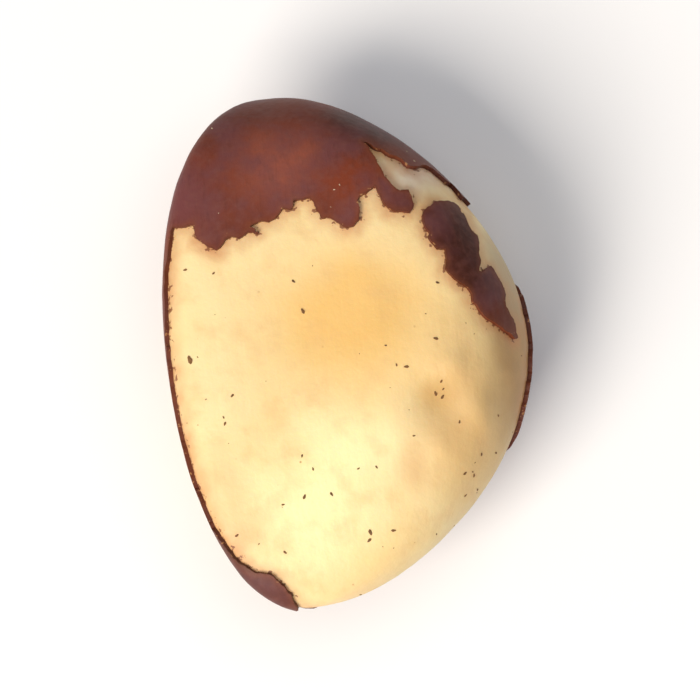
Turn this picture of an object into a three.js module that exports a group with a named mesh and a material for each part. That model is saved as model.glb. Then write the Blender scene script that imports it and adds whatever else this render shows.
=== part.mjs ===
// Shelled brazil nut: one kernel, three-sided and plump, lying on its blunt keel with its broad face up.
// The brown skin is scraped off the face and off two windows below, and stands proud where it is left.
// Millimetres, +Z up, +Y from the narrow tip to the cap end, origin under the middle of the nut.
import * as THREE from "three";
import { mergeVertices } from "three/addons/utils/BufferGeometryUtils.js";

// Driving dimensions
const LENGTH = 32; // tip to tip
const SKIN = 0.25; // thickness of the skin
const TIP_LEVEL = 8.3; // height of the line from tip to tip, at mid length
const TIP_DROP = 1.4; // how far that line falls from mid length to the cap end
const MESH_AROUND = 78; // lines drawn from tip to tip, along the ridge and the back
const MESH_ALONG = 57; // steps along each of them

// Half profiles along the length: reach at mid length, lean towards the cap end, fullness of both ends
const RIDGE_REACH = { size: 7.35, lean: 0.07, fullness: 0.08 }; // sideways to the thin ridge, -X
const BACK_REACH = { size: 14.8, lean: -0.035, fullness: -0.21 }; // sideways to the round back, +X
const FACE_RISE = { size: 5.2, lean: 0.27, fullness: 0.25 }; // up to the broad face
const KEEL_DROP = { size: 8.8, lean: -0.14, fullness: -0.3 }; // down to the keel, below the resting plane

// Cross section: directions of its sides, in degrees from the back, and their distances from its middle
const SIDES = [
  { angle: 94, distance: 6 }, // broad face
  { angle: 40, distance: 8.5 }, // shoulder
  { angle: 348, distance: 10 }, // back
  { angle: 316, distance: 7.4 }, // back, below
  { angle: 267, distance: 6.5 }, // keel
  { angle: 217, distance: 6.5 }, // ridge side
];
const ROUNDING_POWER = 6; // the lower, the rounder the corners between the sides

// Soft dents (depth above zero) and swellings of the broad face, in plan
const DENTS = [
  { x: 8.4, y: -4, radius: 1.6, depth: 0.4 },
  { x: 9.6, y: -4.9, radius: 1.2, depth: 0.2 },
  { x: 6.9, y: -8.8, radius: 2.6, depth: 0.24 },
  { x: 7.6, y: 2.2, radius: 2.4, depth: 0.2 },
  { x: 0.7, y: 1.6, radius: 4.5, depth: 0.25 },
  { x: 11.4, y: -4.9, radius: 1, depth: -0.3 },
  { x: 11.7, y: -5.9, radius: 0.9, depth: -0.2 },
  { x: 9.8, y: -2.1, radius: 1, depth: -0.22 },
];

// Plan outlines of the scraped areas, [x, y] from the line between the tips, with their torn edges
const CAP_EDGE = [
  [-6.5, 7.8], [-5.3, 7.9], [-5.1, 6.9], [-3.8, 6], [-3.3, 6.9], [-2.5, 6.6], [-2, 7.1], [-1.4, 7],
  [-0.9, 7.6], [-0.2, 7.7], [0.3, 8.3], [0.9, 8.9], [1.9, 8.8], [2.6, 7.5], [4, 6.8], [4.9, 7.2],
  [4.9, 8.4], [6, 9.3], [6.6, 7.7], [8, 7.3], [8.3, 7.8], [7.9, 8.8], [7.2, 8.9], [6.7, 9.7],
  [5.4, 12.2], [7.2, 11.2], [8.6, 10.3], [9.1, 10.6], [10.8, 9.4], [11.2, 8.6],
];
const BACK_EDGE = [[13.6, 7.4], [15.2, 4], [15.9, 0], [15.6, -3]];
const BARE_EDGE = [[14.4, -7.6], [12.6, -10.4], [9.2, -13.6], [4.6, -16.4], [1.4, -17], [-0.3, -16.2]];
const RIDGE_EDGE = [
  [-0.7, -15.9], [-1.5, -14.5], [-2.1, -14], [-3.2, -13.7], [-4, -12.9], [-4.8, -11.9], [-5.65, -10],
  [-6.35, -7.7], [-7, -4.6], [-7.25, -1.7], [-7.3, 1.2], [-7.15, 4.3], [-6.75, 6.4],
];
const FACE_SCRAPE = [...CAP_EDGE, ...BACK_EDGE, ...BARE_EDGE, ...RIDGE_EDGE];
const SKIN_STRIP = [
  [8.7, 7.1], [9.5, 8], [10.3, 8.1], [10.9, 7.8], [11.9, 5.8], [11.9, 3.6], [12.6, 3.9], [13.3, 2.4],
  [13.7, 0.5], [13.7, -0.5], [12, 0.6], [11.1, 2.5], [9.9, 3.7], [9.9, 4.9], [9.3, 5], [9, 5.9],
];
const UNDER_SCRAPES = [
  [[-4.6, -8], [-2.6, -10.6], [0.2, -9.4], [1.2, -5.6], [0.2, -1], [-1.6, 2.6], [-3.8, 2], [-5, -2.4]],
  [[8.2, 8.6], [9.6, 4], [11.8, 1.4], [12.9, 3.6], [11.8, 7.4], [9.4, 10.6]],
];
const WRAP = 3; // scraped width that a turn of the surface from flat to upright takes up
const WRAP_UNDER = 0.5; // how far past upright the scrape wraps round the back, as the normal's slope
const WRAP_LEAD = 3; // where that sets in, on the ridge's side of the line between the tips
const WRAP_SPAN = 4; // width in plan over which it sets in
const BACK_RIM = { from: -4.6, to: 1.2, fade: 3.6 }; // stretch of the back with skin up to the outline
const RIM_ABOVE = 0.15; // how far above upright the skin ends there, as the normal's slope

// Half profile at a station s, from -1 at the narrow tip to 1 at the cap end
function reach(s, { size, lean, fullness }) {
  return size * Math.sqrt(Math.max(0, 1 - s * s)) * (1 + lean * s + fullness * s * s);
}

// Point of the rounded section in a direction round its middle
function sectionPoint(angle) {
  const pull = SIDES.reduce((sum, side) => {
    const facing = Math.cos(angle - THREE.MathUtils.degToRad(side.angle)) / side.distance;
    return sum + Math.max(0, facing) ** ROUNDING_POWER;
  }, 0);
  const radius = pull ** (-1 / ROUNDING_POWER);
  return new THREE.Vector2(radius * Math.cos(angle), radius * Math.sin(angle));
}

// The whole section as a closed curve, to be walked evenly, so that its corners are drawn finely too
const SECTION_SAMPLES = 720;
const sectionPoints = Array.from({ length: SECTION_SAMPLES + 1 }, (_, i) => {
  return sectionPoint((2 * Math.PI * i) / SECTION_SAMPLES);
});
const sectionCurve = new THREE.SplineCurve(sectionPoints);
sectionCurve.arcLengthDivisions = SECTION_SAMPLES;
const sectionBox = new THREE.Box2().setFromPoints(sectionPoints);
const sectionMiddle = sectionBox.getCenter(new THREE.Vector2());
const sectionHalf = sectionBox.getSize(new THREE.Vector2()).divideScalar(2);

// Point of the scraped kernel for a direction of the unit sphere
function kernelPoint(direction) {
  const s = direction.y;
  const turn = Math.atan2(direction.z, direction.x) / (2 * Math.PI);
  const section = sectionCurve.getPointAt(THREE.MathUtils.euclideanModulo(turn, 1));
  section.sub(sectionMiddle).divide(sectionHalf);
  const [ridge, back] = [reach(s, RIDGE_REACH), reach(s, BACK_REACH)];
  const [rise, drop] = [reach(s, FACE_RISE), reach(s, KEEL_DROP)];
  return new THREE.Vector3(
    (back - ridge) / 2 + ((back + ridge) / 2) * section.x,
    (LENGTH / 2) * s,
    TIP_LEVEL - TIP_DROP * s + (rise - drop) / 2 + ((rise + drop) / 2) * section.y,
  );
}

// How deep the dents of the broad face are at a point of it
function dentDepth(point) {
  return DENTS.reduce((sum, dent) => {
    const away = Math.hypot(point.x - dent.x, point.y - dent.y) / dent.radius;
    return sum + dent.depth * Math.exp(-away * away);
  }, 0);
}

// Distance from a closed outline in plan, above zero inside it
function insideBy(outline, point) {
  let nearest = Infinity;
  let inside = false;
  outline.forEach(([ax, ay], i) => {
    const [bx, by] = outline[(i + 1) % outline.length];
    const [ex, ey] = [bx - ax, by - ay];
    const [px, py] = [point.x - ax, point.y - ay];
    const t = THREE.MathUtils.clamp((px * ex + py * ey) / (ex * ex + ey * ey), 0, 1);
    nearest = Math.min(nearest, Math.hypot(px - t * ex, py - t * ey));
    const crosses = ay > point.y !== by > point.y;
    if (crosses && px < (py / ey) * ex) inside = !inside;
  });
  return inside ? nearest : -nearest;
}

// How far inside a scraped area a point is, above zero on the bare kernel and below zero under skin
function scrapedBy(point, normal) {
  const onFace = Math.min(insideBy(FACE_SCRAPE, point), -insideBy(SKIN_STRIP, point));
  const { smoothstep, lerp } = THREE.MathUtils;
  const onBack = smoothstep(point.x, -WRAP_LEAD, WRAP_SPAN - WRAP_LEAD);
  const past = smoothstep(point.y, BACK_RIM.from - BACK_RIM.fade, BACK_RIM.from);
  const beyond = smoothstep(point.y, BACK_RIM.to, BACK_RIM.to + BACK_RIM.fade);
  const under = onBack * lerp(WRAP_UNDER, -RIM_ABOVE, past - beyond);
  const above = Math.min(onFace, WRAP * (normal.z + under));
  const below = UNDER_SCRAPES.map((outline) => Math.min(insideBy(outline, point), -WRAP * normal.z));
  return Math.max(above, ...below);
}

// The whole kernel as points with normals and triangles, dented on its broad face
function kernelForm() {
  const sphere = new THREE.SphereGeometry(1, MESH_AROUND, MESH_ALONG);
  sphere.deleteAttribute("normal");
  sphere.deleteAttribute("uv");
  const form = mergeVertices(sphere, 1e-5);
  const place = form.getAttribute("position");
  const vertex = new THREE.Vector3();
  for (let i = 0; i < place.count; i++) {
    vertex.copy(kernelPoint(vertex.fromBufferAttribute(place, i).normalize()));
    place.setXYZ(i, ...vertex);
  }
  form.computeVertexNormals();
  const slope = form.getAttribute("normal");
  for (let i = 0; i < place.count; i++) {
    const facingUp = Math.max(0, slope.getZ(i));
    vertex.fromBufferAttribute(place, i);
    place.setZ(i, vertex.z - facingUp * dentDepth(vertex));
  }
  form.computeVertexNormals();
  return form;
}

// The kernel with its skin: the form is split along the torn edge, and the skin raised with a wall round it
function skinnedNut(form) {
  const place = form.getAttribute("position");
  const slope = form.getAttribute("normal");
  const corners = form.index.array;
  const vertices = [];
  const triangles = [];
  const add = (point) => vertices.push(point.x, point.y, Math.max(0, point.z)) / 3 - 1;
  const raised = (point, normal) => point.clone().addScaledVector(normal, SKIN);

  const row = (attribute, i) => new THREE.Vector3().fromBufferAttribute(attribute, i);
  const points = Array.from({ length: place.count }, (_, i) => row(place, i));
  const normals = points.map((_, i) => row(slope, i));
  const scraped = points.map((point, i) => scrapedBy(point, normals[i]));
  const isSkin = scraped.map((depth) => depth < 0);
  const corner = points.map((point, i) => add(isSkin[i] ? raised(point, normals[i]) : point));

  // The torn edge where it crosses a side of a triangle: its foot on the kernel and its top on the skin
  const SHORTEST_CUT = 0.15;
  const crossings = new Map();
  const crossing = (a, b) => {
    const key = Math.min(a, b) + "-" + Math.max(a, b);
    if (!crossings.has(key)) {
      const [from, to] = [Math.min(a, b), Math.max(a, b)];
      const share = scraped[from] / (scraped[from] - scraped[to]);
      const t = THREE.MathUtils.clamp(share, SHORTEST_CUT, 1 - SHORTEST_CUT);
      const foot = points[from].clone().lerp(points[to], t);
      const normal = normals[from].clone().lerp(normals[to], t).normalize();
      crossings.set(key, { foot: add(foot), top: add(raised(foot, normal)) });
    }
    return crossings.get(key);
  };

  for (let i = 0; i < corners.length; i += 3) {
    const [a, b, c] = corners.slice(i, i + 3);
    if (isSkin[a] === isSkin[b] && isSkin[b] === isSkin[c]) {
      triangles.push(corner[a], corner[b], corner[c]);
      continue;
    }
    const turns = [[a, b, c], [b, c, a], [c, a, b]];
    const alone = ([p, q, r]) => isSkin[p] !== isSkin[q] && isSkin[q] === isSkin[r];
    const [lone, next, last] = turns.find(alone);
    const [near, far] = isSkin[lone] ? ["top", "foot"] : ["foot", "top"];
    const [first, second] = [crossing(lone, next), crossing(lone, last)];
    triangles.push(corner[lone], first[near], second[near]);
    triangles.push(first[far], corner[next], corner[last], first[far], corner[last], second[far]);
    triangles.push(second[near], first[near], first[far], second[near], first[far], second[far]);
  }

  const nut = new THREE.BufferGeometry();
  nut.setAttribute("position", new THREE.Float32BufferAttribute(vertices, 3));
  nut.setIndex(triangles);
  return nut;
}

const geometry = skinnedNut(kernelForm());
geometry.computeBoundingBox();
const middle = geometry.boundingBox.getCenter(new THREE.Vector3());
geometry.translate(-middle.x, -middle.y, 0);
geometry.computeVertexNormals();

const material = new THREE.MeshStandardMaterial({ color: 0xf3dca0, roughness: 0.5, metalness: 0 });
const brazilNut = new THREE.Mesh(geometry, material);
brazilNut.name = "brazil_nut";

const part = new THREE.Group();
part.add(brazilNut);

export default part;
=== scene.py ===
"""Shelled brazil nut: a plump cream kernel with torn patches of brown skin, on a pale floor."""

import logging
import math
from dataclasses import dataclass
from enum import Enum
from typing import Any

import bpy
import numpy as np
from bpy.types import Material, Mesh, Node, NodeSocket, NodeTree, Object
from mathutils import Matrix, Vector


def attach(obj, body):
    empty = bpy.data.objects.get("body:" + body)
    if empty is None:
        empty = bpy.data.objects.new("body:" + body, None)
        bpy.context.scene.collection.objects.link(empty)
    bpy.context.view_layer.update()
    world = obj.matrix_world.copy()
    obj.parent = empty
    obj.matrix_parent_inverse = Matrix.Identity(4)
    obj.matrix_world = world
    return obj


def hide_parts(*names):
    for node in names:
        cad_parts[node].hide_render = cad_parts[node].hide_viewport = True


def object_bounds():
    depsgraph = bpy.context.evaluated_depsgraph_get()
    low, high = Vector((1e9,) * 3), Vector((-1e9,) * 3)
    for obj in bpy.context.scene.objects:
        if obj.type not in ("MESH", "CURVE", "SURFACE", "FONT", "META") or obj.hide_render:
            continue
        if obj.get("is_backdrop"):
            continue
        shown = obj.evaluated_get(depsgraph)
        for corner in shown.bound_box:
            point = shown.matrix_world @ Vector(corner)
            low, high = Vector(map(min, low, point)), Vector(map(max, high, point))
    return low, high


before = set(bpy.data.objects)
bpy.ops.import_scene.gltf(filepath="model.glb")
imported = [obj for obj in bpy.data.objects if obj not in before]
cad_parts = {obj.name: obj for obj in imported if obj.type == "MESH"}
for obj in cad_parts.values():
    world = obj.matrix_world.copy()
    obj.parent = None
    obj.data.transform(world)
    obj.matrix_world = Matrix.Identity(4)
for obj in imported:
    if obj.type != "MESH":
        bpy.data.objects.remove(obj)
CAD_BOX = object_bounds()

LOG = logging.getLogger("brazil_nut")
MM = 0.001
TINY = 1e-12

MATH = "ShaderNodeMath"
VECTOR = "ShaderNodeVectorMath"
NOISE = "ShaderNodeTexNoise"
RANGE = "ShaderNodeMapRange"
BUMP = "ShaderNodeBump"
STORE = "GeometryNodeStoreNamedAttribute"
RECALL = "GeometryNodeInputNamedAttribute"

# Sockets of nodes that hold several kinds of value, where a name isn't enough
MIX_SHARE, MIX_UNDER, MIX_OVER, MIXED = 0, 6, 7, 2
RANDOM_MOST, RANDOM_FLOAT = 3, 1

# Lines of the torn edge that a point may lie on
PLAIN, FOOT, TOP = range(3)

Pair = tuple[float, float]
Triple = tuple[float, float, float]
Outline = tuple[Pair, ...]
Array = np.ndarray


def linear(colour: str) -> tuple[float, float, float, float]:
    """Turn an sRGB hex colour into linear light, by the standard's own curve.

    Args:
        colour: the colour as #rrggbb.

    Returns:
        Linear red, green, blue and an alpha of one.
    """
    parts = [int(colour[i : i + 2], 16) / 255 for i in (1, 3, 5)]
    light = [p / 12.92 if p <= 0.04045 else ((p + 0.055) / 1.055) ** 2.4 for p in parts]
    return (light[0], light[1], light[2], 1.0)


def per_metre(size: float) -> float:
    """Scale of a pattern, in cycles per metre, whose marks are that many millimetres wide."""
    return 1 / (size * MM)


def add(
    tree: NodeTree, kind: str, inputs: dict | tuple = (), operation: str = "", **settings: Any
) -> Node:
    """Add a node to a tree, with its settings, values and links.

    Args:
        tree: the shader or geometry tree.
        kind: the node's type.
        inputs: what the sockets get, by name or number or in order: a value, a socket, or a node,
            for its first output.
        operation: what the node works out, if it can do several things.
        settings: the node's own options.

    Returns:
        The new node.
    """
    node = tree.nodes.new(kind)
    if operation:
        node.operation = operation
    for name, value in settings.items():
        setattr(node, name, value)
    for key, value in inputs.items() if isinstance(inputs, dict) else enumerate(inputs):
        source = value.outputs[0] if isinstance(value, Node) else value
        if isinstance(source, NodeSocket):
            tree.links.new(source, node.inputs[key])
        else:
            node.inputs[key].default_value = source
    return node


def new_surface(name: str) -> tuple[Material, NodeTree, NodeSocket]:
    """Start a material.

    Args:
        name: what the real material is.

    Returns:
        The material, its tree and its Object coordinates.
    """
    material = bpy.data.materials.new(name)
    material.use_nodes = True
    tree = material.node_tree
    tree.nodes.clear()
    return material, tree, add(tree, "ShaderNodeTexCoord").outputs["Object"]


def close_surface(tree: NodeTree, inputs: dict[str, Any]) -> None:
    """End a material in its one shader, with these values and links."""
    shader = add(tree, "ShaderNodeBsdfPrincipled", inputs)
    add(tree, "ShaderNodeOutputMaterial", {"Surface": shader})


@dataclass(frozen=True)
class Marks:
    """Cloudy pattern: the width of its marks in millimetres, and how finely they break up.

    A squeeze below one draws the marks out along the nut.
    """

    width: float
    detail: float
    squeeze: float = 1.0

    def draw(self, tree: NodeTree, place: Node | NodeSocket) -> Node:
        """Draw the pattern on coordinates in metres."""
        squeezed = add(tree, VECTOR, (place, (1.0, self.squeeze, 1.0)), "MULTIPLY")
        pattern = {"Scale": per_metre(self.width), "Detail": self.detail}
        return add(tree, NOISE, {"Vector": squeezed, **pattern})


@dataclass(frozen=True)
class Relief:
    """Fine relief of a pattern: how strongly it shows, and its depth in millimetres."""

    strength: float
    depth: float

    def over(self, height: Node) -> dict[str, Any]:
        """What a bump gets for this relief of a pattern."""
        return {"Strength": self.strength, "Distance": self.depth * MM, "Height": height}


@dataclass(frozen=True)
class Layer:
    """Colour that shows where a pattern goes from its start to its full value."""

    colour: str
    start: float = 0.0
    full: float = 1.0
    strength: float = 1.0
    blend: str = "LINEAR"

    def over(self, tree: NodeTree, pattern: Any, ground: Any) -> NodeSocket:
        """Lay the colour over another.

        Args:
            tree: the material's tree.
            pattern: the node or socket that says where it shows.
            ground: the colour under it, or the socket of one.

        Returns:
            The colour of both together.
        """
        span = {"From Min": self.start, "From Max": self.full, "To Max": self.strength}
        share = add(tree, RANGE, {"Value": pattern, **span}, interpolation_type=self.blend)
        colours = {MIX_SHARE: share, MIX_UNDER: ground, MIX_OVER: linear(self.colour)}
        return add(tree, "ShaderNodeMix", colours, data_type="RGBA").outputs[MIXED]


@dataclass(frozen=True)
class Patch:
    """Soft patch of colour on the broad face, in millimetres in plan.

    It starts to show at its outer edge and is full at its inner one, both in shares of its reach,
    and the edges wander with the clouds.
    """

    colour: str
    middle: Pair
    reach: Pair
    strength: float
    outer: float = 1.6
    inner: float = 0.7
    wander: float = 1.2

    def over(
        self, tree: NodeTree, place: NodeSocket, clouds: Node, ground: NodeSocket
    ) -> NodeSocket:
        """Lay the patch over a colour.

        Args:
            tree: the material's tree.
            place: Object coordinates.
            clouds: the noise that its edge wanders by.
            ground: the colour under it.

        Returns:
            The colour with the patch.
        """
        middle = (self.middle[0] * MM, self.middle[1] * MM, 0.0)
        narrow = (per_metre(self.reach[0]), per_metre(self.reach[1]), 0.0)
        offset = add(tree, VECTOR, (place, middle), "SUBTRACT")
        shrunk = add(tree, VECTOR, (offset, narrow), "MULTIPLY")
        away = add(tree, VECTOR, (shrunk,), "LENGTH").outputs["Value"]
        distance = add(tree, MATH, (clouds, self.wander, away), "MULTIPLY_ADD")
        layer = Layer(self.colour, self.outer, self.inner, self.strength, "SMOOTHSTEP")
        return layer.over(tree, distance, ground)


@dataclass(frozen=True)
class KernelFinish:
    """Bare kernel, dry and oily at once, peeled with a blade.

    To the eye it is waxy: light goes a little way in, so that shadows are warm and edges soft. The
    colour wanders from cream to a butter yellow heart, with a peach stain where the skin was
    pulled off. Patches of painted shade darken the right edge, the band beside the skin strip and
    two dents.
    """

    cream: str = "#f1dca6"
    butter: Layer = Layer("#edcf92", 0.35, 0.68)
    patches: tuple[Patch, ...] = (
        Patch("#f7eeb4", (-2.4, -8.8), (6.5, 6.5), 0.9),
        Patch("#e6b662", (0.2, 0.9), (9.0, 7.0), 0.85),
        Patch("#cf9c56", (6.6, -5.5), (4.6, 8.0), 0.6),
        Patch("#e4c188", (-8.6, -10.0), (3.0, 5.5), 0.75),
        Patch("#e8c88f", (-1.0, -15.2), (4.0, 2.4), 0.7),
        # Painted shade along the right edge, which turns away from the light
        Patch("#ad7f45", (10.6, -2.5), (2.8, 10.0), 0.85),
        Patch("#efe3cf", (4.6, 9.8), (3.6, 2.6), 0.9),
        # Painted shade on the band to the right of the skin strip
        Patch("#b8a582", (9.9, 4.0), (1.8, 5.0), 0.6),
        # Painted shade in a dent
        Patch("#c79a52", (4.9, -3.9), (1.7, 1.5), 0.6),
        # Painted shade in a dent
        Patch("#dcb078", (3.2, -8.4), (1.5, 2.2), 0.6),
        Patch("#e0b27c", (-7.6, -11.6), (2.0, 1.3), 0.7),
    )
    tan: Layer = Layer("#d8ab72", 0.5, 0.8, 0.45)
    pores: Layer = Layer("#b98a52")
    stain: Layer = Layer("#cb8d5c")
    shreds: Layer = Layer("#7d4526", 0.0, 0.04, 0.85)
    cloud: Marks = Marks(7.0, 4.0)
    mottle: Marks = Marks(1.8, 5.0)
    grain: Marks = Marks(0.35, 3.0)
    blade: Marks = Marks(0.9, 2.0, squeeze=0.12)
    pore_spacing: float = 1.3
    pore_width: float = 0.09
    pore_strength: float = 0.8
    pore_places: Pair = (0.48, 0.62)
    stain_reach: float = 1.1
    stain_strength: float = 1.1
    shred_reach: float = 0.5
    shred_levels: Pair = (0.5, 0.78)
    roughness: Pair = (0.4, 0.62)
    blade_relief: Relief = Relief(0.45, 0.1)
    grain_relief: Relief = Relief(0.4, 0.06)

    def material(self) -> Material:
        """Build the material on Object coordinates and on the distance from the torn skin."""
        material, tree, place = new_surface("brazil_nut_kernel")
        tear = add(tree, "ShaderNodeAttribute", attribute_name="tear").outputs["Fac"]
        drawn = (self.cloud, self.mottle, self.grain, self.blade)
        clouds, mottle, grain, blade = (marks.draw(tree, place) for marks in drawn)

        # Cream to butter in soft clouds, the patches, some of them painted shade, and tan where it
        # has dried unevenly
        ground = self.butter.over(tree, clouds, linear(self.cream))
        for patch in self.patches:
            ground = patch.over(tree, place, clouds, ground)
        ground = self.tan.over(tree, mottle, ground)

        # Pinprick pores, in some places only
        spacing = {"Vector": place, "Scale": per_metre(self.pore_spacing), "Randomness": 1.0}
        cells = add(tree, "ShaderNodeTexVoronoi", spacing)
        hole = self.pore_width / self.pore_spacing
        rim = {"From Min": hole, "From Max": hole / 2, "To Max": self.pore_strength}
        pitted = add(tree, RANGE, {"Value": cells, **rim})
        first, last = self.pore_places
        here = add(tree, RANGE, {"Value": clouds, "From Min": first, "From Max": last})
        porous = add(tree, MATH, (pitted, here), "MULTIPLY")
        ground = self.pores.over(tree, porous, ground)

        # Peach stain beside the torn skin
        near = {"From Min": self.stain_reach, "From Max": 0.0, "To Max": self.stain_strength}
        beside = add(tree, RANGE, {"Value": tear, **near}, interpolation_type="SMOOTHSTEP")
        patchy = add(tree, MATH, (beside, mottle), "MULTIPLY")
        ground = self.stain.over(tree, patchy, ground)

        # Shreds of skin that were left on the kernel, the more the nearer to the torn edge
        most, fewest = self.shred_levels
        levels = {"From Max": self.shred_reach, "To Min": most, "To Max": fewest}
        level = add(tree, RANGE, {"Value": tear, **levels})
        above = add(tree, MATH, (grain, level), "SUBTRACT")
        ground = self.shreds.over(tree, above, ground)

        # Blade marks run along the nut; the grain is that of a dry waxy surface
        scraped = add(tree, BUMP, self.blade_relief.over(blade))
        smooth, rough = self.roughness
        shine = {
            "Roughness": add(tree, RANGE, {"Value": mottle, "To Min": smooth, "To Max": rough}),
            "Normal": add(tree, BUMP, {**self.grain_relief.over(grain), "Normal": scraped}),
            "IOR": 1.47,
        }
        glow = {
            "Subsurface Weight": 0.16,
            "Subsurface Radius": (1.0, 0.55, 0.22),
            "Subsurface Scale": 1.1 * MM,
        }
        close_surface(tree, {"Base Color": ground, **shine, **glow})
        return material


@dataclass(frozen=True)
class SkinFinish:
    """Seed coat of the nut, a thin dry brown film.

    To the eye it is satin: red brown with a greyish bloom, finely fibrous along the nut, and orange
    where it was scraped thin beside its torn edge. Painted shade darkens the top of the cap, the
    strip on the right slope and the torn edge.
    """

    brown: str = "#58281d"
    red: Layer = Layer("#7a3823", 0.3, 0.7)
    patches: tuple[Patch, ...] = (
        Patch("#95503e", (-3.8, 11.2), (5.0, 4.0), 0.85),
        Patch("#713f40", (-9.4, 9.8), (3.2, 5.0), 0.85),
        # Painted shade on the top of the cap, which turns away from the light
        Patch("#43201a", (3.2, 14.2), (4.6, 3.4), 0.9),
        Patch("#82391f", (0.8, 9.8), (3.4, 2.8), 0.8),
        # Painted shade on the skin strip, which faces away from the light
        Patch("#3f1a0f", (8.6, 4.0), (4.0, 6.0), 0.9),
        Patch("#523530", (-6.7, -13.8), (4.5, 4.5), 0.85),
    )
    mauve: Layer = Layer("#6a3f42", 0.46, 0.66, 0.65)
    strands: Layer = Layer("#38180f", 0.55, 0.8, 0.22)
    bloom: Layer = Layer("#7a4a40", 0.45, 0.75, 0.35)
    thin: Layer = Layer("#874a26")
    torn: Layer = Layer("#38180f", -0.09, -0.02, 0.3)
    nicks: Layer = Layer("#b07f52", 0.0, 0.04, 0.8)
    cloud: Marks = Marks(5.0, 5.0)
    tint: Marks = Marks(2.6, 4.0)
    fibre: Marks = Marks(0.3, 3.0, squeeze=0.09)
    pit: Marks = Marks(0.45, 4.0)
    nick: Marks = Marks(0.3, 3.0)
    thin_reach: Pair = (-0.4, 0.1)
    thin_strength: float = 0.7
    nick_reach: float = 0.35
    nick_levels: Pair = (0.8, 0.64)
    roughness: Pair = (0.36, 0.62)
    fibre_relief: Relief = Relief(0.3, 0.06)
    pit_relief: Relief = Relief(0.4, 0.07)

    def material(self) -> Material:
        """Build the material on Object coordinates and on the distance from the torn edge."""
        material, tree, place = new_surface("brazil_nut_skin")
        tear = add(tree, "ShaderNodeAttribute", attribute_name="tear").outputs["Fac"]
        drawn = (self.cloud, self.tint, self.fibre, self.pit, self.nick)
        clouds, tints, fibres, pits, nicks = (marks.draw(tree, place) for marks in drawn)

        # Brown to red brown in clouds, and the patches, two of them painted shade
        ground = self.red.over(tree, clouds, linear(self.brown))
        for patch in self.patches:
            ground = patch.over(tree, place, clouds, ground)

        # Mauve tinges, dark fibres, and a greyish bloom, as of dust in a dry film
        for layer, pattern in ((self.mauve, tints), (self.strands, fibres), (self.bloom, pits)):
            ground = layer.over(tree, pattern, ground)

        # Scraped thin beside the torn edge
        start, end = self.thin_reach
        near = {"From Min": start, "From Max": end, "To Max": self.thin_strength}
        beside = add(tree, RANGE, {"Value": tear, **near}, interpolation_type="SMOOTHSTEP")
        patchy = add(tree, MATH, (beside, clouds), "MULTIPLY")
        ground = self.thin.over(tree, patchy, ground)

        # Painted shade: the skin darkens along its torn edge and wall, as the wall would in shadow
        ground = self.torn.over(tree, tear, ground)

        # Nicks along the torn edge that let the kernel through
        fewest, most = self.nick_levels
        span = {"From Min": -self.nick_reach, "From Max": 0.0}
        level = add(tree, RANGE, {"Value": tear, **span, "To Min": fewest, "To Max": most})
        above = add(tree, MATH, (nicks, level), "SUBTRACT")
        ground = self.nicks.over(tree, above, ground)

        strands = add(tree, BUMP, self.fibre_relief.over(fibres))
        smooth, rough = self.roughness
        shine = {
            "Roughness": add(tree, RANGE, {"Value": clouds, "To Min": smooth, "To Max": rough}),
            "Normal": add(tree, BUMP, {**self.pit_relief.over(pits), "Normal": strands}),
            "IOR": 1.46,
            "Specular IOR Level": 0.27,
        }
        glow = {
            "Subsurface Weight": 0.04,
            "Subsurface Radius": (0.6, 0.25, 0.12),
            "Subsurface Scale": 0.5 * MM,
        }
        close_surface(tree, {"Base Color": ground, **shine, **glow})
        return material


@dataclass(frozen=True)
class CrumbFinish:
    """Crumbs rubbed off in shelling: dry and dull, each lighter or darker than the next."""

    name: str
    dark: str
    light: Layer
    spread: Marks = Marks(1.5, 2.0)

    def material(self) -> Material:
        """Build the material on Object coordinates, so that the shade changes with the crumb."""
        material, tree, place = new_surface(self.name)
        mixed = self.light.over(tree, self.spread.draw(tree, place), linear(self.dark))
        close_surface(tree, {"Base Color": mixed, "IOR": 1.45, "Roughness": 0.75})
        return material


@dataclass(frozen=True)
class PaperFinish:
    """Matt white studio paper: it throws light back evenly and shows only the soft shadow."""

    white: str = "#f7f7f8"
    fibre: Marks = Marks(0.6, 2.0)
    relief: Relief = Relief(0.05, 0.02)

    def material(self) -> Material:
        """Build the material, with a faint tooth."""
        material, tree, place = new_surface("studio_paper")
        tooth = add(tree, BUMP, self.relief.over(self.fibre.draw(tree, place)))
        white = linear(self.white)
        close_surface(tree, {"Base Color": white, "Roughness": 0.9, "Normal": tooth})
        return material


def new_object(name: str, data: bpy.types.ID) -> Object:
    """Put an object with this mesh, lamp or camera in the scene."""
    thing = bpy.data.objects.new(name, data)
    bpy.context.collection.objects.link(thing)
    return thing


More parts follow.
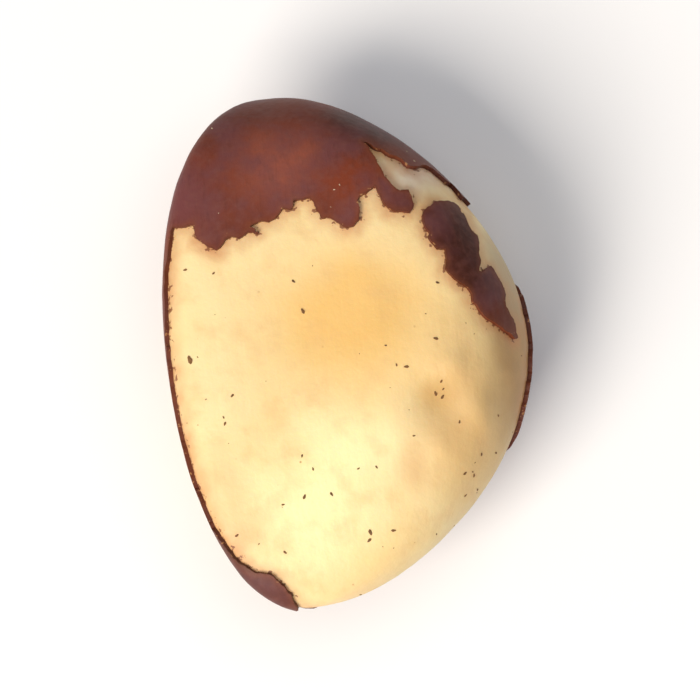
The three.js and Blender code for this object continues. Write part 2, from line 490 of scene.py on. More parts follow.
class ShapeTree:
    """A Geometry Nodes tree with named inputs for its sizes, run once on an object."""

    def __init__(self, name: str, sizes: dict[str, float | int]) -> None:
        """Start the tree.

        Args:
            name: the tree's name.
            sizes: input names to the values that they get.
        """
        self.tree = bpy.data.node_groups.new(name, "GeometryNodeTree")
        self.sizes = sizes
        interface = self.tree.interface
        for side in ("OUTPUT", "INPUT"):
            interface.new_socket("Geometry", in_out=side, socket_type="NodeSocketGeometry")
        for label, value in sizes.items():
            kind = "NodeSocketInt" if isinstance(value, int) else "NodeSocketFloat"
            interface.new_socket(label, in_out="INPUT", socket_type=kind)
        self.inputs = add(self.tree, "NodeGroupInput").outputs

    def close(self, geometry: Node, material: Material) -> None:
        """End the tree in real geometry with its material.

        Args:
            geometry: the node that gives the shape.
            material: the finish.
        """
        real = add(self.tree, "GeometryNodeRealizeInstances", {"Geometry": geometry})
        inputs = {"Geometry": real, "Material": material}
        dressed = add(self.tree, "GeometryNodeSetMaterial", inputs)
        add(self.tree, "NodeGroupOutput", {"Geometry": dressed})

    def run(self, mesh: Mesh) -> Mesh:
        """Run the tree on a mesh.

        Args:
            mesh: what the tree's Geometry input gets.

        Returns:
            The result as a plain mesh.
        """
        carrier = new_object(self.tree.name, mesh)
        modifier = carrier.modifiers.new(self.tree.name, "NODES")
        modifier.node_group = self.tree
        for item in self.tree.interface.items_tree:
            if item.in_out == "INPUT" and item.name in self.sizes:
                modifier[item.identifier] = self.sizes[item.name]
        graph = bpy.context.evaluated_depsgraph_get()
        result = bpy.data.meshes.new_from_object(carrier.evaluated_get(graph))
        carrier.modifiers.remove(modifier)
        bpy.data.objects.remove(carrier)
        return result


@dataclass(frozen=True)
class Profile:
    """Half profile along the nut: reach at mid length, lean to the cap end, fullness of ends."""

    size: float
    lean: float
    fullness: float


@dataclass(frozen=True)
class SectionSide:
    """One side of the rounded section: its direction in degrees and distance from the middle."""

    angle: float
    distance: float


@dataclass(frozen=True)
class Dent:
    """Soft dent in the broad face, or a swelling where its depth is below zero.

    All of it is in millimetres in plan, from the middle of the line between the tips.
    """

    x: float
    y: float
    radius: float
    depth: float


@dataclass
class KernelForm:
    """The kernel's rule, in millimetres: four half profiles along it and a rounded section."""

    length: float = 32.0
    tip_level: float = 8.3
    tip_drop: float = 1.4
    ridge: Profile = Profile(-7.35, 0.07, 0.08)
    back: Profile = Profile(14.8, -0.035, -0.21)
    face: Profile = Profile(5.2, 0.27, 0.25)
    keel: Profile = Profile(-8.8, -0.14, -0.3)
    sides: tuple[SectionSide, ...] = (
        SectionSide(94, 6.0),
        SectionSide(40, 8.5),
        SectionSide(348, 10.0),
        SectionSide(316, 7.4),
        SectionSide(267, 6.5),
        SectionSide(217, 6.5),
    )
    rounding: float = 6.0
    section_samples: int = 1440
    lines_around: int = 360
    steps_along: int = 210
    unevenness: float = 0.16
    uneven: Marks = Marks(3.2, 2.0)
    ragged: Marks = Marks(0.7, 3.0)
    seed: float = 4.0
    dents: tuple[Dent, ...] = (
        Dent(8.4, -4.0, 1.6, 0.40),
        Dent(9.6, -4.9, 1.2, 0.20),
        Dent(6.9, -8.8, 2.6, 0.24),
        Dent(7.6, 2.2, 2.4, 0.20),
        Dent(0.7, 1.6, 4.5, 0.25),
        Dent(11.4, -4.9, 1.0, -0.30),
        Dent(11.7, -5.9, 0.9, -0.20),
        Dent(9.8, -2.1, 1.0, -0.22),
        Dent(8.7, -7.1, 0.6, -0.12),
    )

    def section_box(self) -> tuple[Array, Array]:
        """Lowest and highest corner of the rounded section, before it is fitted to profiles."""
        angle = np.linspace(0, 2 * math.pi, self.section_samples, endpoint=False)
        pull = np.zeros_like(angle)
        for side in self.sides:
            facing = np.cos(angle - math.radians(side.angle)) / side.distance
            pull += np.maximum(facing, 0) ** self.rounding
        ring = pull ** (-1 / self.rounding) * np.array([np.cos(angle), np.sin(angle)])
        return ring.min(axis=1), ring.max(axis=1)

    def section(self, tree: NodeTree, unit: Node, rounding: NodeSocket) -> Node:
        """Draw the rounded section: its sides pull together, with sharper corners if stronger.

        Args:
            tree: the kernel's tree.
            unit: the place on the unit ball, whose axis runs along the nut.
            rounding: how strongly the sides pull.

        Returns:
            The section's point in the same direction from the axis.
        """
        flat = add(tree, VECTOR, (unit, (1.0, 1.0, 0.0)), "MULTIPLY")
        heading = add(tree, VECTOR, (flat,), "NORMALIZE")
        pull: Any = TINY
        for side in self.sides:
            angle = math.radians(side.angle)
            normal = (math.cos(angle) / side.distance, math.sin(angle) / side.distance, 0.0)
            facing = add(tree, VECTOR, (heading, normal), "DOT_PRODUCT")
            towards = add(tree, MATH, (facing.outputs["Value"], 0.0), "MAXIMUM")
            powered = add(tree, MATH, (towards, rounding), "POWER")
            pull = add(tree, MATH, (pull, powered), "ADD")
        root = add(tree, MATH, (-1.0, rounding), "DIVIDE")
        radius = add(tree, MATH, (pull, root), "POWER")
        return add(tree, VECTOR, {0: heading, "Scale": radius}, "SCALE")

    def mesh(self, material: Material) -> Mesh:
        """Draw the kernel by its rule.

        Args:
            material: the kernel's finish.

        Returns:
            A closed mesh in millimetres. Its points keep the smooth form's normal, and a noise for
            the torn edge.
        """
        profiles = {
            "Ridge reach": self.ridge,
            "Back reach": self.back,
            "Face rise": self.face,
            "Keel drop": self.keel,
        }
        given = {
            "Lines around": self.lines_around,
            "Steps along": self.steps_along,
            "Length": self.length,
            "Tip level": self.tip_level,
            "Tip drop": self.tip_drop,
            "Rounding": self.rounding,
            "Unevenness": self.unevenness,
            "Seed": self.seed,
        }
        given.update((label, profile.size) for label, profile in profiles.items())
        shape = ShapeTree("kernel_form", given)
        tree, sizes = shape.tree, shape.inputs
        counts = {"Segments": sizes["Lines around"], "Rings": sizes["Steps along"], "Radius": 1.0}
        ball = add(tree, "GeometryNodeMeshUVSphere", counts)
        unit = add(tree, "GeometryNodeInputPosition")
        station = add(tree, "ShaderNodeSeparateXYZ", (unit,)).outputs["Z"]

        # Half profiles: an arch along the nut, which leans to one end and is full or lean at both
        squared = add(tree, MATH, (station, station), "MULTIPLY")
        left = add(tree, MATH, (1.0, squared), "SUBTRACT", use_clamp=True)
        arch = add(tree, MATH, (left,), "SQRT")
        reaches = {}
        for label, profile in profiles.items():
            leaning = add(tree, MATH, (station, profile.lean, 1.0), "MULTIPLY_ADD")
            full = add(tree, MATH, (squared, profile.fullness, leaning), "MULTIPLY_ADD")
            arched = add(tree, MATH, (full, arch), "MULTIPLY")
            reaches[label] = add(tree, MATH, (arched, sizes[label]), "MULTIPLY")

        # The section fitted between the profiles
        ring = self.section(tree, unit, sizes["Rounding"])
        across = add(tree, "ShaderNodeSeparateXYZ", (ring,)).outputs
        low, high = self.section_box()
        fitted = []
        for axis, ends in enumerate((("Ridge reach", "Back reach"), ("Keel drop", "Face rise"))):
            before = {"From Min": float(low[axis]), "From Max": float(high[axis])}
            after = {"To Min": reaches[ends[0]], "To Max": reaches[ends[1]]}
            fit = {"Value": across[axis], **before, **after}
            fitted.append(add(tree, RANGE, fit, clamp=False))
        sideways, upwards = fitted
        fall = add(tree, MATH, (station, sizes["Tip drop"]), "MULTIPLY")
        tip_line = add(tree, MATH, (sizes["Tip level"], fall), "SUBTRACT")
        height = add(tree, MATH, (tip_line, upwards), "ADD")
        half = add(tree, MATH, (sizes["Length"], 0.5), "MULTIPLY")
        lengthways = add(tree, MATH, (station, half), "MULTIPLY")
        point = add(tree, "ShaderNodeCombineXYZ", (sideways, lengthways, height))
        laid = add(tree, "GeometryNodeSetPosition", {"Geometry": ball, "Position": point})
        outside = add(tree, "GeometryNodeFlipFaces", {"Mesh": laid})
        normal = add(tree, "GeometryNodeInputNormal")
        smooth = {"Geometry": outside, "Name": "facing", "Value": normal}
        formed = add(tree, STORE, smooth, data_type="FLOAT_VECTOR")

        # Grown surface with low swellings all over, and a noise that makes the torn edge ragged
        place = add(tree, "GeometryNodeInputPosition")
        noises = []
        for marks in (self.uneven, self.ragged):
            pattern = {"W": sizes["Seed"], "Scale": 1 / marks.width, "Detail": marks.detail}
            noises.append(add(tree, NOISE, {"Vector": place, **pattern}, noise_dimensions="4D"))
        swell, ragged = noises
        centred = add(tree, MATH, (swell, 0.5), "SUBTRACT")
        lift = add(tree, MATH, (centred, sizes["Unevenness"]), "MULTIPLY")
        outwards = add(tree, VECTOR, {0: normal, "Scale": lift}, "SCALE")
        swollen = add(tree, "GeometryNodeSetPosition", {"Geometry": formed, "Offset": outwards})
        kept = add(tree, STORE, {"Geometry": swollen, "Name": "ragged", "Value": ragged})
        shape.close(kept, material)
        return shape.run(bpy.data.meshes.new("kernel_form"))

    def dent(self, points: Array, normals: Array) -> None:
        """Press the dents into the broad face.

        Args:
            points: the kernel's points, which are changed.
            normals: their normals.
        """
        facing_up = np.maximum(normals[:, 2], 0)
        for dent in self.dents:
            away = np.hypot(points[:, 0] - dent.x, points[:, 1] - dent.y) / dent.radius
            points[:, 2] -= facing_up * dent.depth * np.exp(-(away**2))


def read(items: Any, field: str, width: int = 1, kind: type = np.float64) -> Array:
    """Read one field of all items in a mesh's list.

    Args:
        items: the mesh's list, such as its vertices.
        field: the field's name.
        width: how many numbers the field holds.
        kind: the type of number to read.

    Returns:
        One value for each item, or one row of values.
    """
    values = np.empty(len(items) * width, dtype=kind)
    items.foreach_get(field, values)
    return values.reshape(-1, width) if width > 1 else values


def vertex_normals(points: Array, triangles: Array) -> Array:
    """Normals of a closed mesh at its points.

    Args:
        points: one row for each point.
        triangles: three point numbers in each row.

    Returns:
        One unit normal for each point.
    """
    a, b, c = (points[triangles[:, i]] for i in range(3))
    facing = np.cross(b - a, c - a)
    total = np.zeros_like(points)
    for corner in range(3):
        for axis in range(3):
            total[:, axis] += np.bincount(triangles[:, corner], facing[:, axis], len(points))
    return total / np.maximum(np.linalg.norm(total, axis=1, keepdims=True), TINY)


def eased(values: Array, start: float, end: float) -> Array:
    """Smooth step of the values from nought at the start to one at the end."""
    share = np.clip((values - start) / (end - start), 0, 1)
    return share**2 * (3 - 2 * share)


def inside_by(outline: Outline, points: Array) -> Array:
    """Distance from a closed outline in plan.

    Args:
        outline: its corners in order.
        points: one row for each point.

    Returns:
        The distance of each point, above zero inside the outline.
    """
    corners = np.array(outline)
    place = points[:, :2]
    nearest = np.full(len(points), np.inf)
    inside = np.zeros(len(points), dtype=bool)
    for start, end in zip(corners, np.roll(corners, -1, axis=0)):
        edge = end - start
        share = np.clip((place - start) @ edge / (edge @ edge), 0, 1)
        away = np.linalg.norm(place - start - share[:, None] * edge, axis=1)
        nearest = np.minimum(nearest, away)
        crosses = (start[1] > place[:, 1]) != (end[1] > place[:, 1])
        rise = edge[1] if edge[1] else 1.0
        inside ^= crosses & (place[:, 0] < start[0] + (place[:, 1] - start[1]) / rise * edge[0])
    return np.where(inside, nearest, -nearest)


@dataclass
class TornSkin:
    """The brown skin, in millimetres: where it was scraped off, and how it stands where it is left.

    Outlines are in plan, from the middle of the line between the tips. Round the sides the bare
    kernel ends where its normal turns down, but lower on the back, by the wrap under. Along the
    back rim the skin climbs over the back's edge instead, by the rim above.
    """

    thickness: float = 0.25
    curl: float = 0.03
    curl_reach: float = 0.4
    raggedness: float = 0.7
    ridge_raggedness: float = 0.2
    back_raggedness: float = 1.2
    ridge_span: Pair = (-6.2, -3.0)
    upright_from_above: Pair = (0.5, 0.1)
    upright_from_below: Pair = (-0.9, -0.6)
    wrap: float = 3.0
    wrap_under: float = 0.5
    wrap_lead: float = 3.0
    wrap_span: float = 4.0
    back_rim: Pair = (-4.6, 1.2)
    rim_fade: float = 3.6
    rim_above: float = 0.15
    shortest_cut: float = 0.1
    top_tear: float = -0.03
    face_scrape: Outline = (
        (-6.5, 7.8), (-5.9, 7.7), (-5.3, 7.9), (-5.2, 7.4), (-5.1, 6.9), (-4.6, 6.4), (-3.8, 6.0),
        (-3.6, 6.5), (-3.3, 6.9), (-2.9, 6.9), (-2.5, 6.6), (-2.2, 6.8), (-2.0, 7.1), (-1.4, 7.0),
        (-1.9, 7.5), (-0.9, 7.6), (-0.2, 7.7), (0.1, 8.0), (0.3, 8.3), (0.8, 8.3), (0.9, 8.9),
        (1.9, 8.8), (2.2, 8.5), (2.6, 7.5), (3.1, 7.5), (4.0, 6.8), (4.5, 6.8), (4.9, 7.2),
        (4.9, 8.4), (5.6, 9.0), (6.0, 9.3), (6.4, 8.4), (6.6, 7.7), (8.0, 7.3), (8.3, 7.8),
        (8.2, 8.4), (7.9, 8.8), (7.2, 8.9), (6.7, 9.7), (6.2, 10.8), (5.7, 11.9), (5.4, 12.2),
        (6.3, 11.7), (7.2, 11.2), (8.1, 10.5), (8.6, 10.3), (9.1, 10.6), (9.8, 10.1), (10.4, 9.6),
        (10.8, 9.4), (11.2, 8.6), (13.6, 7.4), (15.2, 4.0), (15.9, 0.0), (15.6, -3.0), (14.4, -7.6),
        (12.6, -10.4), (9.2, -13.6), (4.6, -16.4), (1.4, -17.0), (-0.3, -16.2), (-0.7, -15.9),
        (-1.0, -15.4), (-1.5, -14.5), (-2.1, -14.0), (-3.2, -13.7), (-4.0, -12.9), (-4.8, -11.9),
        (-5.65, -10.0), (-6.35, -7.7), (-7.0, -4.6), (-7.25, -1.7), (-7.3, 1.2), (-7.15, 4.3),
        (-6.95, 5.6), (-6.75, 6.4), (-6.65, 7.2),
    )
    strip: Outline = (
        (8.7, 7.1), (9.0, 7.7), (9.5, 8.0), (10.3, 8.1), (10.9, 7.8), (11.4, 6.6), (11.9, 5.8),
        (12.0, 4.3), (11.9, 3.6), (12.6, 3.9), (13.0, 3.3), (13.3, 2.4), (13.3, 1.4), (13.7, 0.5),
        (13.7, -0.5), (12.7, 0.2), (12.0, 0.6), (11.3, 1.7), (11.1, 2.5), (10.5, 3.0), (9.9, 3.7),
        (9.9, 4.9), (9.3, 5.0), (9.0, 5.9),
    )
    under_scrapes: tuple[Outline, ...] = (
        (
            (-4.6, -8.0), (-3.5, -9.2), (-2.6, -10.6), (-1.2, -9.5), (0.2, -9.4), (0.5, -7.3),
            (1.2, -5.6), (0.5, -3.4), (0.2, -1.0), (-1.0, 0.3), (-1.6, 2.6), (-2.7, 1.7),
            (-3.8, 2.0), (-4.1, -0.3), (-5.0, -2.4), (-4.5, -5.2),
        ),
        (
            (8.2, 8.6), (9.2, 6.6), (9.6, 4.0), (10.5, 2.9), (11.8, 1.4), (12.4, 2.2), (12.9, 3.6),
            (12.1, 5.3), (11.8, 7.4), (10.6, 8.8), (9.4, 10.6),
        ),
    )

    def scraped_by(self, points: Array, normals: Array, ragged: Array) -> Array:
        """How far inside a scraped area each point is.

        Args:
            points: the kernel's points.
            normals: the normals of the kernel's smooth form there.
            ragged: a noise about one half for each point.

        Returns:
            Millimetres, above zero on the bare kernel and below zero under skin.
        """
        x, y, upward = points[:, 0], points[:, 1], normals[:, 2]
        on_face = np.minimum(inside_by(self.face_scrape, points), -inside_by(self.strip, points))
        on_back = eased(x, -self.wrap_lead, self.wrap_span - self.wrap_lead)
        first, last = self.back_rim
        past = eased(y, first - self.rim_fade, first)
        beyond = eased(y, last, last + self.rim_fade)
        climb = (self.wrap_under + self.rim_above) * (past - beyond)
        scraped = np.minimum(on_face, self.wrap * (upward + on_back * (self.wrap_under - climb)))
        for outline in self.under_scrapes:
            underneath = np.minimum(inside_by(outline, points), -self.wrap * upward)
            scraped = np.maximum(scraped, underneath)

        # The edge is nearly clean along the ridge, and wanders most where it climbs the back
        swing = np.interp(x, self.ridge_span, (self.ridge_raggedness, self.raggedness))
        swing[upward < -self.wrap_under] = self.raggedness
        upright = eased(upward, *self.upright_from_above) * eased(upward, *self.upright_from_below)
        swing += (self.back_raggedness - self.raggedness) * on_back * upright
        return scraped + swing * (ragged - 0.5)

    def raised(self, points: Array, normals: Array, scraped: Array) -> Array:
        """Points lifted to the top of the skin, which curls up a little beside its torn edge."""
        curl = self.curl * np.exp(np.minimum(scraped, 0) / self.curl_reach)
        return points + normals * (self.thickness + curl)[:, None]

    def lay(self, points: Array, triangles: Array, scraped: Array) -> "SkinnedSurface":
        """Split the kernel's surface along the torn edge, and raise the skin with a wall round it.

        Args:
            points: the kernel's points.
            triangles: its triangles.
            scraped: how far inside a scraped area each point is.

        Returns:
            The closed surface of kernel and skin.
        """
        normals = vertex_normals(points, triangles)
        skin = scraped < 0
        corners = np.where(skin[:, None], self.raised(points, normals, scraped), points)

        # Triangles that the edge crosses, turned so that the corner on its own comes first
        count = skin[triangles].sum(axis=1)
        torn = (count == 1) | (count == 2)
        whole = triangles[~torn]
        split = triangles[torn]
        lone_is_skin = count[torn] == 1
        first = np.argmax(skin[split] == lone_is_skin[:, None], axis=1)
        rows = np.arange(len(split))
        lone, second, third = (split[rows, (first + turn) % 3] for turn in range(3))

        # The edge's foot on the kernel and its top on the skin, where it crosses triangles' sides
        sides = np.concatenate([np.stack([lone, second], 1), np.stack([lone, third], 1)])
        unique, index = np.unique(np.sort(sides, axis=1), axis=0, return_inverse=True)
        start, end = unique.T
        share = scraped[start] / (scraped[start] - scraped[end])
        share = np.clip(share, self.shortest_cut, 1 - self.shortest_cut)[:, None]
        foot = points[start] * (1 - share) + points[end] * share
        normal = normals[start] * (1 - share) + normals[end] * share
        normal /= np.linalg.norm(normal, axis=1, keepdims=True)
        top = self.raised(foot, normal, np.zeros(len(foot)))
        feet = len(points) + index.reshape(2, -1)
        tops = feet + len(unique)
        near = np.where(lone_is_skin, tops, feet)
        far = np.where(lone_is_skin, feet, tops)

        # The lone corner, the other two, and the wall between them
        pieces = (
            (lone, near[0], near[1]),
            (far[0], second, third),
            (far[0], third, far[1]),
            (near[1], near[0], far[0]),
            (near[1], far[0], far[1]),
        )
        wall = np.ones(len(split), dtype=bool)
        is_skin = [skin[whole[:, 0]], lone_is_skin, ~lone_is_skin, ~lone_is_skin, wall, wall]
        return SkinnedSurface(
            points=np.concatenate([corners, foot, top]),
            triangles=np.concatenate([whole, *(np.stack(piece, 1) for piece in pieces)]),
            is_skin=np.concatenate(is_skin),
            line=np.repeat([PLAIN, FOOT, TOP], [len(points), len(foot), len(top)]),
            tear=np.append(scraped, np.repeat([0.0, self.top_tear], len(foot))),
        )


@dataclass
class SkinnedSurface:
    """Closed surface of kernel and skin.

    Each triangle is skin or not. Each point has its distance from the torn edge, and the line of
    that edge that it lies on.
    """

    points: Array
    triangles: Array
    is_skin: Array
    line: Array
    tear: Array

    def rest(self) -> None:
        """Cut the keel flat on the floor, and put the origin under the middle of the nut."""
        self.points[:, 2] = np.maximum(self.points[:, 2], 0)
        plan = self.points[:, :2]
        plan -= (plan.min(axis=0) + plan.max(axis=0)) / 2

    def mesh(self, name: str, finishes: list[Material]) -> Mesh:
        """Write the surface as a mesh in metres.

        Args:
            name: the mesh's name.
            finishes: the kernel's and the skin's material.

        Returns:
            The mesh, smooth but for both lines of the torn edge, with the tear distance on its
            points.
        """
        mesh = bpy.data.meshes.new(name)
        mesh.from_pydata((self.points * MM).tolist(), [], self.triangles.tolist())
        for finish in finishes:
            mesh.materials.append(finish)
        mesh.polygons.foreach_set("material_index", self.is_skin.astype(np.int32))
        mesh.polygons.foreach_set("use_smooth", np.ones(len(self.triangles), dtype=bool))
        start, end = self.line[read(mesh.edges, "vertices", 2, np.int32)].T
        mesh.edges.foreach_set("use_edge_sharp", (start == end) & (start != PLAIN))
        tear = mesh.attributes.new("tear", "FLOAT", "POINT")
        tear.data.foreach_set("value", self.tear.astype(np.float32))
        mesh.update()
        return mesh


@dataclass
class BrazilNut:
    """The nut: kernel and skin as the one piece that they grew as."""

    form: KernelForm
    skin: TornSkin
    kernel_finish: KernelFinish
    skin_finish: SkinFinish

    def build(self) -> Object:
        """Draw the kernel, lay the skin on it, and dress both.

        Returns:
            The nut's object.
        """
        finishes = [self.kernel_finish.material(), self.skin_finish.material()]
        drawn = self.form.mesh(finishes[0])
        drawn.calc_loop_triangles()
        points = read(drawn.vertices, "co", 3)
        triangles = read(drawn.loop_triangles, "vertices", 3, np.int64)
        ragged = read(drawn.attributes["ragged"].data, "value")
        facing = read(drawn.attributes["facing"].data, "vector", 3)
        bpy.data.meshes.remove(drawn)

        self.form.dent(points, facing)
        scraped = self.skin.scraped_by(points, facing, ragged)
        surface = self.skin.lay(points, triangles, scraped)
        surface.rest()
        return new_object("brazil_nut_skinned", surface.mesh("brazil_nut_skinned", finishes))


class Ground(Enum):
    """What crumbs lie on: the bare kernel or the skin, as the sign of the tear distance there."""

    KERNEL = 1.0
    SKIN = -1.0


@dataclass
class Crumbs:
    """Crumbs strewn over the nut, half sunk in it, in millimetres and crumbs per square millimetre.

    They lie clear of the torn edge and of the floor, and gather in drifts. Placed ones have X and Y
    in plan, from the middle of the line between the tips, and a width. The shift is how far that
    line lies from the origin, in X.
    """

    name: str
    ground: Ground
    finish: CrumbFinish
    density: float
    smallest: float
    largest: float
    clear_of_edge: float
    seed: int
    shift: float
    placed: tuple[Triple, ...] = ()
    placed_facing: float = 0.3
    clear_of_floor: float = 0.6
    drift: Marks = Marks(5.0, 2.0)
    drift_levels: Pair = (0.42, 0.68)
    rarity: float = 3.0
    proportions: Triple = (1.0, 0.62, 0.4)
    roundness: int = 2
    knobs: float = 2.4

    def mark(self, mesh: Mesh) -> None:
        """Mark the points of a mesh's upper side where crumbs have a given place."""
        points = read(mesh.vertices, "co", 3) / MM
        normals = read(mesh.vertex_normals, "vector", 3, np.float32)
        upper = normals[:, 2] > self.placed_facing
        widths = np.zeros(len(points), dtype=np.float32)
        for x, y, width in self.placed:
            away = np.hypot(points[:, 0] - x - self.shift, points[:, 1] - y)
            widths[np.argmin(np.where(upper, away, np.inf))] = width * MM
        attribute = mesh.attributes.new("placed", "FLOAT", "POINT")
        attribute.data.foreach_set("value", widths)

    def build(self, nut: Object) -> Object:
        """Strew the crumbs.

        Args:
            nut: what they lie on.

        Returns:
            The crumbs as one object.
        """
        ground = nut.data.copy()
        self.mark(ground)
        shape = ShapeTree(
            self.name,
            {
                "Density": self.density / MM**2,
                "Smallest": self.smallest * MM,
                "Largest": self.largest * MM,
                "Clear of edge": self.clear_of_edge,
                "Clear of floor": self.clear_of_floor * MM,
                "Seed": self.seed,
            },
        )
        tree, sizes = shape.tree, shape.inputs
        normal = add(tree, "GeometryNodeInputNormal")
        outwards = {"Geometry": sizes["Geometry"], "Name": "facing", "Value": normal}
        faced = add(tree, STORE, outwards, data_type="FLOAT_VECTOR")
        tear, given, wide = (
            add(tree, RECALL, {"Name": name}, data_type="FLOAT")
            for name in ("tear", "placed", "width")
        )
        own_side = add(tree, MATH, (tear, self.ground.value), "MULTIPLY")
        place = add(tree, "GeometryNodeInputPosition")
        height = add(tree, "ShaderNodeSeparateXYZ", (place,)).outputs["Z"]
        off_edge, off_floor = (
            add(tree, MATH, (away, sizes[least]), "GREATER_THAN")
            for away, least in ((own_side, "Clear of edge"), (height, "Clear of floor"))
        )
        clear = add(tree, MATH, (off_edge, off_floor), "MULTIPLY")

        # Strewn crumbs, thicker in some places, small ones far more often than large ones
        drift = self.drift.draw(tree, place)
        none, all_over = self.drift_levels
        gathered = add(tree, RANGE, {"Value": drift, "From Min": none, "From Max": all_over})
        thick = add(tree, MATH, (gathered, sizes["Density"]), "MULTIPLY")
        spread = {"Mesh": faced, "Selection": clear, "Density": thick, "Seed": sizes["Seed"]}
        strewn = add(tree, "GeometryNodeDistributePointsOnFaces", spread)
        chance = add(tree, "FunctionNodeRandomValue", {"Seed": sizes["Seed"]}, data_type="FLOAT")
        rare = add(tree, MATH, (chance.outputs[RANDOM_FLOAT], self.rarity), "POWER")
        ends = {"To Min": sizes["Smallest"], "To Max": sizes["Largest"]}
        width = add(tree, RANGE, {"Value": rare, **ends})
        sized = add(tree, STORE, {"Geometry": strewn, "Name": "width", "Value": width})

        # Crumbs that have a given place
        is_given = add(tree, MATH, (given, 0.0), "GREATER_THAN")
        picked = add(tree, "GeometryNodeMeshToPoints", {"Mesh": faced, "Selection": is_given})
        known = add(tree, STORE, {"Geometry": picked, "Name": "width", "Value": given})
        together = add(tree, "GeometryNodeJoinGeometry", (sized,))
        tree.links.new(known.outputs[0], together.inputs[0])

        # Each crumb is a flat lump, turned at random about the surface's normal
        ball = add(tree, "GeometryNodeMeshIcoSphere", (0.5, self.roundness))
        knobs = add(tree, NOISE, {"Vector": place, "Scale": self.knobs}).outputs["Color"]
        pushed = add(tree, VECTOR, (knobs, (0.5, 0.5, 0.5)), "SUBTRACT")
        lump = add(tree, "GeometryNodeSetPosition", {"Geometry": ball, "Offset": pushed})
        facing = add(tree, RECALL, {"Name": "facing"}, data_type="FLOAT_VECTOR")
        upright = add(tree, "FunctionNodeAlignRotationToVector", {"Vector": facing}, axis="Z")
        number = add(tree, "GeometryNodeInputIndex")
        draw = {RANDOM_MOST: math.tau, "ID": number, "Seed": sizes["Seed"]}
        angle = add(tree, "FunctionNodeRandomValue", draw, data_type="FLOAT")
        axis = (0.0, 0.0, 1.0)
        spin = add(tree, "FunctionNodeAxisAngleToRotation", (axis, angle.outputs[RANDOM_FLOAT]))
        turn = add(tree, "FunctionNodeRotateRotation", (upright, spin), rotation_space="LOCAL")
        flat = add(tree, VECTOR, {0: self.proportions, "Scale": wide}, "SCALE")
        copies = {"Points": together, "Instance": lump, "Rotation": turn, "Scale": flat}
        laid = add(tree, "GeometryNodeInstanceOnPoints", copies)
        shape.close(laid, self.finish.material())
        mesh = shape.run(ground)
        mesh.name = self.name
        bpy.data.meshes.remove(ground)
        return new_object(self.name, mesh)


@dataclass(frozen=True)
class Lamp:
    """Soft square light that looks at a point, in metres, with its power in watts."""

    name: str
    place: Triple
    width: float
    power: float
    tint: str
    target: Triple = (0.0, 0.0, 6 * MM)

    def hang(self) -> None:
        """Hang the light."""
        data = bpy.data.lights.new(self.name, "AREA")
        data.size = self.width
        data.energy = self.power
        data.color = linear(self.tint)[:3]
        light = new_object(self.name, data)
        light.location = self.place
        looking = Vector(self.target) - Vector(self.place)
        light.rotation_euler = looking.to_track_quat("-Z", "Y").to_euler()


@dataclass
class Studio:
    """White paper, a soft key light from the picture's lower left, and the camera above the nut."""

    azimuth: float = -4.6
    elevation: float = 83.0
    lens: float = 200.0
    sensor: float = 36.0
    nut_share: float = 0.74
    floor_width: float = 1.2
    floor_level: float = -0.01 * MM
    lamps: tuple[Lamp, ...] = (
        Lamp("key", (-0.26, -0.26, 0.36), 0.26, 2.9, "#fff6ea"),
        Lamp("top", (0.05, 0.05, 0.5), 0.4, 0.6, "#ffffff"),
    )
    sky_tint: str = "#f4f6fc"
    sky_strength: float = 0.3

    def lay_floor(self, finish: PaperFinish) -> None:
        """Lay the paper just under the nut."""
        half = self.floor_width / 2
        around = ((-half, -half), (half, -half), (half, half), (-half, half))
        mesh = bpy.data.meshes.new("floor")
        mesh.from_pydata([(x, y, self.floor_level) for x, y in around], [], [(0, 1, 2, 3)])
        mesh.materials.append(finish.material())
        floor = new_object("floor", mesh)
        floor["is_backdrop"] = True

    def light(self) -> None:
        """Hang the lights and set the sky that fills the shadows."""
        for lamp in self.lamps:
            lamp.hang()
        world = bpy.data.worlds.new("studio")
        world.use_nodes = True
        sky = world.node_tree.nodes["Background"]
        sky.inputs["Color"].default_value = linear(self.sky_tint)
        sky.inputs["Strength"].default_value = self.sky_strength
        bpy.context.scene.world = world
        bpy.context.scene.view_settings.view_transform = "Standard"

    def aim_camera(self, length: float, middle: Vector) -> None:
        """Put the camera at the photograph's angle.

        Args:
            length: the nut's length, in metres.
            middle: the point in the middle of the picture.
        """
        data = bpy.data.cameras.new("camera")
        data.lens = self.lens
        data.sensor_width = self.sensor
        camera = new_object("camera", data)
        distance = length / self.nut_share * self.lens / self.sensor
        around, above = math.radians(self.azimuth), math.radians(self.elevation)
        level = math.cos(above)
        outwards = Vector((math.sin(around) * level, -math.cos(around) * level, math.sin(above)))
        camera.location = middle + outwards * distance
        camera.rotation_euler = (math.pi / 2 - above, 0, around)
        bpy.context.scene.camera = camera


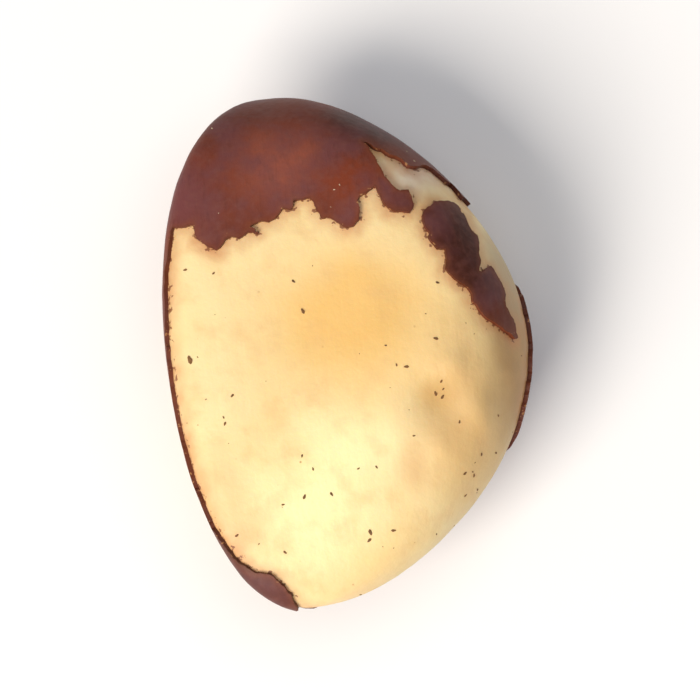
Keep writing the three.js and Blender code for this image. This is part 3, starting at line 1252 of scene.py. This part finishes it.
# Specks of skin that stand where the photograph shows them, for Crumbs.placed
SPECKS: tuple[Triple, ...] = (
    (-6.0, -0.5, 0.5), (0.6, 3.7, 0.25), (1.0, 1.8, 0.34), (8.9, -0.5, 0.3), (8.6, -3.8, 0.3),
    (9.0, -4.1, 0.28), (9.0, -3.2, 0.22), (9.2, -3.5, 0.18), (4.0, -11.9, 0.36), (3.9, -12.4, 0.3),
    (5.4, -11.9, 0.28), (0.2, -6.9, 0.2), (1.8, -9.5, 0.26), (-4.4, 4.7, 0.2), (-1.1, -9.8, 0.2),
    (0.9, -7.8, 0.2), (6.4, -2.0, 0.18), (9.9, -5.6, 0.2), (11.2, -7.6, 0.22), (7.1, -6.3, 0.18),
    (4.7, -8.1, 0.2), (3.6, -8.1, 0.18), (10.6, -8.8, 0.25), (10.8, -9.7, 0.22),
    (10.0, -10.1, 0.22), (-4.1, -11.5, 0.25), (-1.3, -12.7, 0.24),
)


def main() -> None:
    """Build the nut, its crumbs and the studio, and tie the pieces to the frame."""
    logging.basicConfig(level=logging.INFO, format="%(message)s")
    form = KernelForm()
    nut = BrazilNut(form, TornSkin(), KernelFinish(), SkinFinish()).build()
    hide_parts("brazil_nut")

    shift = -(form.back.size + form.ridge.size) / 2
    skin_crumbs = Crumbs(
        name="skin_crumbs",
        ground=Ground.KERNEL,
        finish=CrumbFinish("brazil_nut_skin_crumb", "#38200f", Layer("#94683a")),
        density=0.28,
        smallest=0.07,
        largest=0.3,
        clear_of_edge=0.35,
        seed=11,
        shift=shift,
        placed=SPECKS,
    )
    kernel_crumbs = Crumbs(
        name="kernel_crumbs",
        ground=Ground.SKIN,
        finish=CrumbFinish("brazil_nut_kernel_crumb", "#b89a78", Layer("#efe2c4")),
        density=0.12,
        smallest=0.06,
        largest=0.24,
        clear_of_edge=0.3,
        seed=23,
        shift=shift,
    )
    strewn = [crumbs.build(nut) for crumbs in (skin_crumbs, kernel_crumbs)]
    for piece in (nut, *strewn):
        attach(piece, "root")
        LOG.info("%s: %d faces", piece.name, len(piece.data.polygons))

    studio = Studio()
    studio.lay_floor(PaperFinish())
    studio.light()
    low, high = CAD_BOX
    studio.aim_camera(high[1] - low[1], Vector((0, 0, (low[2] + high[2]) / 2)))

    boxes = {"cad": CAD_BOX, "visual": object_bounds()}
    {name: [[float(v) for v in corner] for corner in box] for name, box in boxes.items()}


if __name__ == "__main__":
    main()
